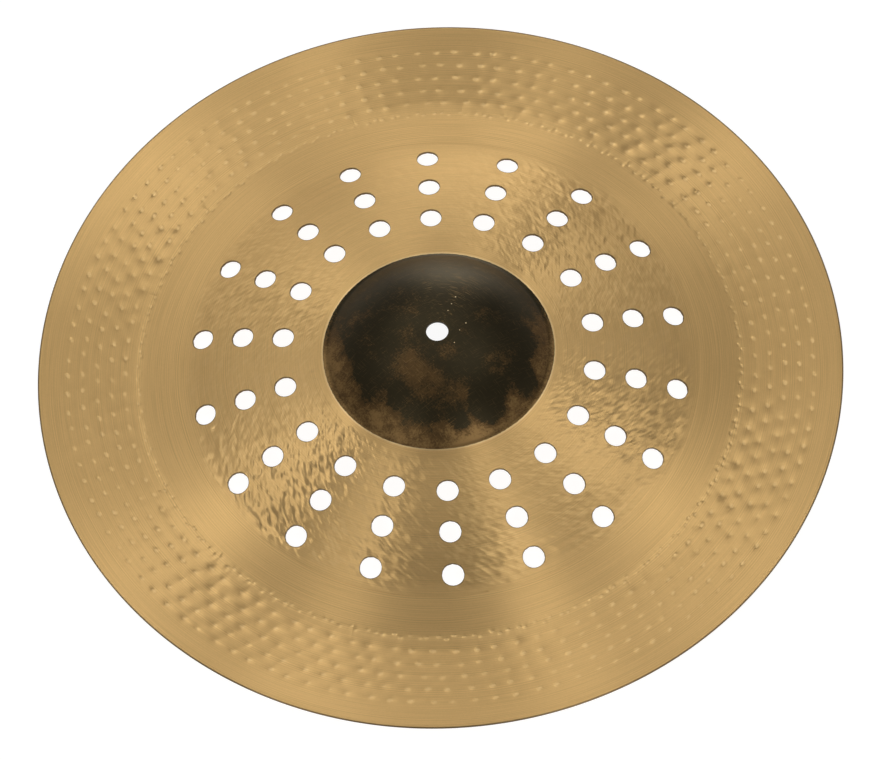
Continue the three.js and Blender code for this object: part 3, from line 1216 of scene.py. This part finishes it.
# The back of the bell, where the skin is painted lighter as a sheen: how far its middle is to the back
# and to the right, and the shares of the way there between which it sets in
BACK_AHEAD, BACK_ASIDE = 0.97, 0.24
BACK_LEVELS = (0.66, 1.0)

# Radii between which the browner foot at the front, and the painted sheen at the back, set in
FOOT_SETS_IN = (50.0, 65.0)
SHEEN_SETS_IN = (28.0, 52.0)

# How worn the skin is: everywhere, less at the back, and by the clouds and the speckle; and how much
# browner and barer it turns towards the foot at the front
WEAR_MIDDLE = 0.43
BACK_WEAR_LOSS = 0.1
CLOUD_WEAR = 1.1
SPECKLE_WEAR = 0.45
FRONT_FOOT_BROWNING = 0.41

# Wear between which the skin turns brown, and between which the bronze shows through
BROWN_LEVELS = (0.45, 0.68)
BARE_LEVELS = (0.68, 0.98)

# Two sets of scratches: lean, length and width. Lines of the first lathing, drawn only at the back
# within the painted sheen, partly real lines and partly painted highlight: noise as that of the grooves,
# and the levels between which a line deepens
SCRATCHES = ((math.radians(28), 9.0, 0.5), (math.radians(-52), 7.0, 0.45))
BACK_LINES = (4.0, 2.6, 1.0)
BACK_LINE_LEVELS = (0.63, 0.72)

# How deep the scratches are in black skin, how much deeper in brown, how deep the lines at the
# back are, and how bare all of them leave the bronze
BLACK_SCRATCH = 0.3
BROWN_SCRATCH = 0.9
BACK_LINE = 1.1
SCRATCHED_BARE = 0.5

# Roughness of the skin, and what the front, the clouds and the speckle add
SKIN_ROUGHNESS = 0.4
FRONT_ROUGHNESS = 0.06
CLOUD_ROUGHNESS = 0.2
SPECKLE_ROUGHNESS = 0.1

# Heights of the skin's scratches, clouds and speckle, and its gloss
SCRATCH_HEIGHT = -0.01
CLOUD_HEIGHT = 0.03
SPECKLE_HEIGHT = 0.006
SKIN_DRAW = 0.3
SKIN_METALLIC = 0.93


def skin_wear(nodes, place, cloud, speckle, front, back):
    """How worn the skin is: more in the worn places and less at the back, and browner and barer towards
    the foot at the front.
    """
    foot_edge = place.radius + off_middle(cloud) * FOOT_FRAY
    foot = nodes.step(*FOOT_SETS_IN, foot_edge) * front
    wear = WEAR_MIDDLE - back * BACK_WEAR_LOSS
    wear = wear + off_middle(cloud) * CLOUD_WEAR + off_middle(speckle) * SPECKLE_WEAR
    wear = wear + foot * FRONT_FOOT_BROWNING
    ragged = off_middle(cloud) * WORN_FRAY
    for x, y, reach, more in WORN_PLACES:
        wear = wear + place.near(x, y, reach * WORN_CORE_SHARE, reach, ragged) * more
    return wear


def skin_shader(nodes, place, finish):
    """Black oxide skin, worn brown in places and browner and barer towards its edge at the front, but
    not at the back, which is painted lighter grey as a painted sheen.
    """
    cloud = nodes.noise(place.place, *CLOUDS)
    speckle = nodes.noise(place.place, *SPECKLE)
    front = nodes.step(*FRONT_LEVELS, 0 - place.sine)
    back = nodes.step(*BACK_LEVELS, place.sine * BACK_AHEAD + place.cosine * BACK_ASIDE)
    wear = skin_wear(nodes, place, cloud, speckle, front, back)
    brown = nodes.step(*BROWN_LEVELS, wear)
    bare = nodes.step(*BARE_LEVELS, wear)
    marred, crossed = (place.scratches(*scratch) for scratch in SCRATCHES)
    marred = marred.math("MAXIMUM", marred, crossed)
    # Lines of the first lathing, shown only at the back within the painted sheen: partly real, partly
    # painted highlight
    back_lines = nodes.step(*BACK_LINE_LEVELS, place.streaks(*BACK_LINES)) * back
    scored = marred * (BLACK_SCRATCH + brown * BROWN_SCRATCH) + back_lines * BACK_LINE
    bare = bare.math("MAXIMUM", bare, scored * SCRATCHED_BARE)
    # Painted sheen: between these radii the back of the dome is painted grey
    painted_sheen = back * nodes.step(*SHEEN_SETS_IN, place.radius)
    base = nodes.mix_colours(painted_sheen, opaque(finish.patina_black), opaque(finish.patina_painted_sheen))
    base = nodes.mix_colours(brown, base, opaque(finish.patina_brown))
    base = nodes.mix_colours(bare, base, opaque(finish.patina_worn))
    nicks = [place.near(x, y, NICK_CORE, reach) for x, y, reach in NICKS]
    base = nodes.mix_colours(sum(nicks[1:], nicks[0]), base, opaque(finish.bronze_and_painted_highlight))
    roughness = SKIN_ROUGHNESS + front * FRONT_ROUGHNESS
    roughness = roughness + off_middle(cloud) * CLOUD_ROUGHNESS
    roughness = roughness + off_middle(speckle) * SPECKLE_ROUGHNESS
    height = scored * SCRATCH_HEIGHT + cloud * CLOUD_HEIGHT + speckle * SPECKLE_HEIGHT
    return metal(nodes, base, roughness, bumped(nodes, height), SKIN_DRAW, SKIN_METALLIC)


def lathed_bronze(name, finish, hammering, stroke_tilt, peening):
    """The lathed part of one face."""
    made, nodes = material(name)
    place = PolarPlace(nodes)
    nodes.finish(lathed_shader(nodes, place, finish, hammering, stroke_tilt, peening))
    return made


# Edge of the skin, where the lathe's first cut begins: its radius, how oval it is, and how far it
# frays, with the cells to a metre and the detail of the noise that frays it
FIRST_CUT_RADIUS = 68.2
FIRST_CUT_OVAL = 0.95
FIRST_CUT_FRAY = 0.5
FRAY = (500.0, 2.0)

# Half the width over which the skin gives way, where the paler line beyond it, a painted highlight,
# fades, and its share
HALF_BLUR = 0.15
HIGHLIGHT_LINE_FADES = (0.4, 1.4)
HIGHLIGHT_LINE_SHARE = 0.5


def raw_bell(name, finish, hammering):
    """The bell: its oxide skin ends where the lathe's first cut, not quite a circle, has begun. Just
    beyond the skin the bronze is painted paler in a thin line, a painted highlight.
    """
    made, nodes = material(name)
    place = PolarPlace(nodes)
    oval = place.cosine * place.cosine - place.sine * place.sine
    fray = off_middle(nodes.noise(place.place, *FRAY)) * FIRST_CUT_FRAY
    beyond = place.radius - (FIRST_CUT_RADIUS + oval * FIRST_CUT_OVAL + fray)
    # Painted highlight: a thin paler line on the bronze just beyond the skin's edge
    bright = (1 - nodes.step(*HIGHLIGHT_LINE_FADES, beyond)) * HIGHLIGHT_LINE_SHARE
    skin = skin_shader(nodes, place, finish)
    lathed = lathed_shader(nodes, place, finish, hammering, stroke_tilt=0.0, bright=bright)
    nodes.finish(nodes.mixed(nodes.step(-HALF_BLUR, HALF_BLUR, beyond), skin, lathed))
    return made


# Scores left by the punch: cells to a metre and detail of their noise, and their height. Then the
# roughness of the wall
PUNCH_SCORES = (2500.0, 2.0)
PUNCH_SCORE_HEIGHT = 0.01
WALL_ROUGHNESS = 0.55


def punched_wall(name, finish):
    """Walls of the sound holes, painted darker than the faces as shade, with brown patina in the punch's
    scores.
    """
    made, nodes = material(name)
    scores = nodes.noise(PolarPlace(nodes).place, *PUNCH_SCORES)
    # Painted shade: the walls take the dark edge colour, mixed with brown patina by the scores
    base = nodes.mix_colours(scores, opaque(finish.painted_edge_shade), opaque(finish.patina_brown))
    normal = bumped(nodes, scores * PUNCH_SCORE_HEIGHT)
    nodes.finish(metal(nodes, base, WALL_ROUGHNESS, normal, draw=0.0))
    return made


def build_materials(finish, hammering):
    """The sheet's materials, in the order of its slots."""
    return [
        lathed_bronze("lathed bronze", finish, hammering, stroke_tilt=1.0, peening=1.0),
        raw_bell("raw bell", finish, hammering),
        lathed_bronze("under bronze", finish, hammering, stroke_tilt=0.5, peening=0.0),
        punched_wall("punched wall", finish),
    ]


# Angle between two faces from which on their edge stays crisp
CREASE = math.radians(50)


class CYMBAL_OT_sheet(bpy.types.Operator):
    """Builds the cymbal's sheet in place of its CAD solid"""

    bl_idname = "cymbal.sheet"
    bl_label = "Cymbal sheet"

    def execute(self, context):
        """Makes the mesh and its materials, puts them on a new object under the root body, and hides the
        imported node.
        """
        scene = context.scene
        mesh = sheet_mesh(scene.cymbal_section, scene.cymbal_holes, scene.cymbal_hammering)
        mesh.polygons.foreach_set("use_smooth", np.ones(len(mesh.polygons), bool))
        mesh.set_sharp_from_angle(angle=CREASE)
        for made in build_materials(scene.cymbal_finish, scene.cymbal_hammering):
            mesh.materials.append(made)
        sheet = bpy.data.objects.new("bronze_sheet", mesh)
        scene.collection.objects.link(sheet)
        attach(sheet, "root")
        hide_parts(SHEET_NODE)
        return {"FINISHED"}


# Lamps of the studio: azimuth from the right and elevation in degrees, side in metres and power
# in watts
LAMPS = {
    "back softbox": (107, 57.5, 0.86, 4.25),
    "high right softbox": (35, 67.5, 0.49, 3.95),
    "overhead softbox": (35, 82, 0.15, 0.7),
    "left softbox": (159, 60.8, 0.15, 2.85),
    "low back softbox": (84, 20, 0.79, 5.5),
    "middle back softbox": (74, 51, 0.29, 0.7),
    "low right softbox": (340, 21, 0.15, 1.3),
    "front right softbox": (296, 36.4, 0.51, 7.1),
    "front left softbox": (230, 46, 0.55, 4.9),
}


def aimed(place, target):
    """Matrix of a thing at a place that looks at a target, upright."""
    turn = (target - place).to_track_quat("-Z", "Y")
    return Matrix.Translation(place) @ turn.to_matrix().to_4x4()


def lofted(azimuth, elevation):
    """Direction of an azimuth from +X and an elevation over the floor."""
    level = math.cos(elevation)
    return Vector((level * math.cos(azimuth), level * math.sin(azimuth), math.sin(elevation)))


def build_lamps(stage, scene):
    """Square soft lamps that face the cymbal and that the camera doesn't see."""
    for name, (azimuth, elevation, side, power) in LAMPS.items():
        light = bpy.data.lights.new(name, "AREA")
        light.shape = "SQUARE"
        light.size = side
        light.energy = stage.lamp_power * power
        lamp = bpy.data.objects.new(name, light)
        place = stage.lamp_distance * lofted(math.radians(azimuth), math.radians(elevation))
        lamp.matrix_world = aimed(place, Vector())
        lamp.visible_camera = False
        scene.collection.objects.link(lamp)


# Width of the camera's sensor, in millimetres
SENSOR_WIDTH = 36


def build_camera(stage, scene):
    """Camera over the front edge, turned a little about its view as the photograph is."""
    back = lofted(-math.pi / 2, stage.camera_elevation)
    right = Vector((1, 0, 0))
    up = back.cross(right)
    turned_right = right * math.cos(stage.camera_roll) + up * math.sin(stage.camera_roll)
    turned_up = up * math.cos(stage.camera_roll) - right * math.sin(stage.camera_roll)
    place = back * stage.camera_distance + Vector((0, 0, stage.look_height))
    place += turned_right * stage.look_side + turned_up * stage.look_up
    lens = bpy.data.cameras.new("camera")
    lens.lens = stage.focal_length
    lens.sensor_fit = "HORIZONTAL"
    lens.sensor_width = SENSOR_WIDTH
    camera = bpy.data.objects.new("camera", lens)
    turn = Matrix((turned_right, turned_up, back)).transposed().to_4x4()
    camera.matrix_world = Matrix.Translation(place) @ turn
    scene.collection.objects.link(camera)
    scene.camera = camera


def seen_rays(nodes):
    """1 for the rays that show a background: those of the camera, of gloss and through glass."""
    path = nodes.add("ShaderNodeLightPath", {}, {}).socket.node
    kinds = ("Camera", "Glossy", "Transmission")
    camera, gloss, glass = (Value(nodes, path.outputs[f"Is {kind} Ray"]) for kind in kinds)
    return camera.math("MINIMUM", camera + gloss + glass, 1.0)


# Glow of the floor as the rays that show it see it, and the grey on which shadows then fall
FLOOR_GLOW = 0.94
SHADOW_GREY = (0.16, 0.16, 0.16)


def build_floor(stage, scene):
    """Wide pale floor: it glows white to the camera and keeps a faint share of the shadow."""
    half = stage.floor_side / 2
    corners = [(-half, -half, 0), (half, -half, 0), (half, half, 0), (-half, half, 0)]
    mesh = bpy.data.meshes.new("floor")
    mesh.from_pydata(corners, [], [(0, 1, 2, 3)])
    made, nodes = material("pale floor")
    plain = nodes.add("ShaderNodeBsdfDiffuse", {}, {"Color": opaque(stage.floor_colour)})
    shaded = nodes.add("ShaderNodeBsdfDiffuse", {}, {"Color": opaque(SHADOW_GREY)})
    glow = nodes.add("ShaderNodeEmission", {}, {"Strength": FLOOR_GLOW})
    white = nodes.add("ShaderNodeAddShader", {}, {0: shaded, 1: glow})
    nodes.finish(nodes.mixed(seen_rays(nodes), plain, white))
    mesh.materials.append(made)
    floor = bpy.data.objects.new("floor", mesh)
    scene.collection.objects.link(floor)


# How high over the horizon the sky has its zenith level, as the height of the direction there
DIM_FROM = 0.5


def build_sky(stage, scene):
    """Studio all round: white at the horizon, dimmer overhead."""
    world = bpy.data.worlds.new("studio")
    nodes = Nodes(world)
    direction = nodes.add("ShaderNodeTexCoord", {}, {}, output="Generated")
    parts = nodes.add("ShaderNodeSeparateXYZ", {}, {0: direction}, output=2)
    level = 1 - nodes.step(0.0, DIM_FROM, parts) * (1 - stage.zenith_level)
    light = nodes.add("ShaderNodeBackground", {}, {"Color": (1, 1, 1, 1), "Strength": level})
    nodes.add("ShaderNodeOutputWorld", {}, {"Surface": light})
    scene.world = world


class CYMBAL_OT_stage(bpy.types.Operator):
    """Builds the camera, the lamps, the floor and the studio round them"""

    bl_idname = "cymbal.stage"
    bl_label = "Studio"

    def execute(self, context):
        """Makes the studio's parts one by one."""
        scene = context.scene
        stage = scene.cymbal_stage
        build_camera(stage, scene)
        build_lamps(stage, scene)
        build_floor(stage, scene)
        build_sky(stage, scene)
        scene.view_settings.view_transform = "Standard"
        return {"FINISHED"}


class CYMBAL_PT_panel(bpy.types.Panel):
    """Lists what can be built, with its sizes and colours"""

    bl_idname = "CYMBAL_PT_panel"
    bl_label = "China cymbal"
    bl_space_type = "VIEW_3D"
    bl_region_type = "UI"
    bl_category = "Cymbal"

    def draw(self, context):
        """Shows a button for each operator and a box for each group of properties."""
        for operator in OPERATORS:
            self.layout.operator(operator.bl_idname)
        for name in GROUPS:
            box = self.layout.box()
            group = getattr(context.scene, name)
            for key in group.__annotations__:
                box.prop(group, key)


GROUPS = {
    "cymbal_section": CymbalSection,
    "cymbal_holes": CymbalHoles,
    "cymbal_hammering": CymbalHammering,
    "cymbal_finish": CymbalFinish,
    "cymbal_stage": CymbalStage,
}
OPERATORS = (CYMBAL_OT_sheet, CYMBAL_OT_stage)
CLASSES = (*GROUPS.values(), *OPERATORS, CYMBAL_PT_panel)


def register():
    """Makes the classes known to Blender and puts the properties on the scene."""
    for cls in CLASSES:
        bpy.utils.register_class(cls)
    for name, group in GROUPS.items():
        setattr(bpy.types.Scene, name, PointerProperty(type=group))


def unregister():
    """Takes back what register did."""
    for name in GROUPS:
        delattr(bpy.types.Scene, name)
    for cls in reversed(CLASSES):
        bpy.utils.unregister_class(cls)


def main():
    """Registers the add-on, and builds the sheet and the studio."""
    register()
    bpy.ops.cymbal.sheet()
    bpy.ops.cymbal.stage()


if __name__ == "__main__":
    main()
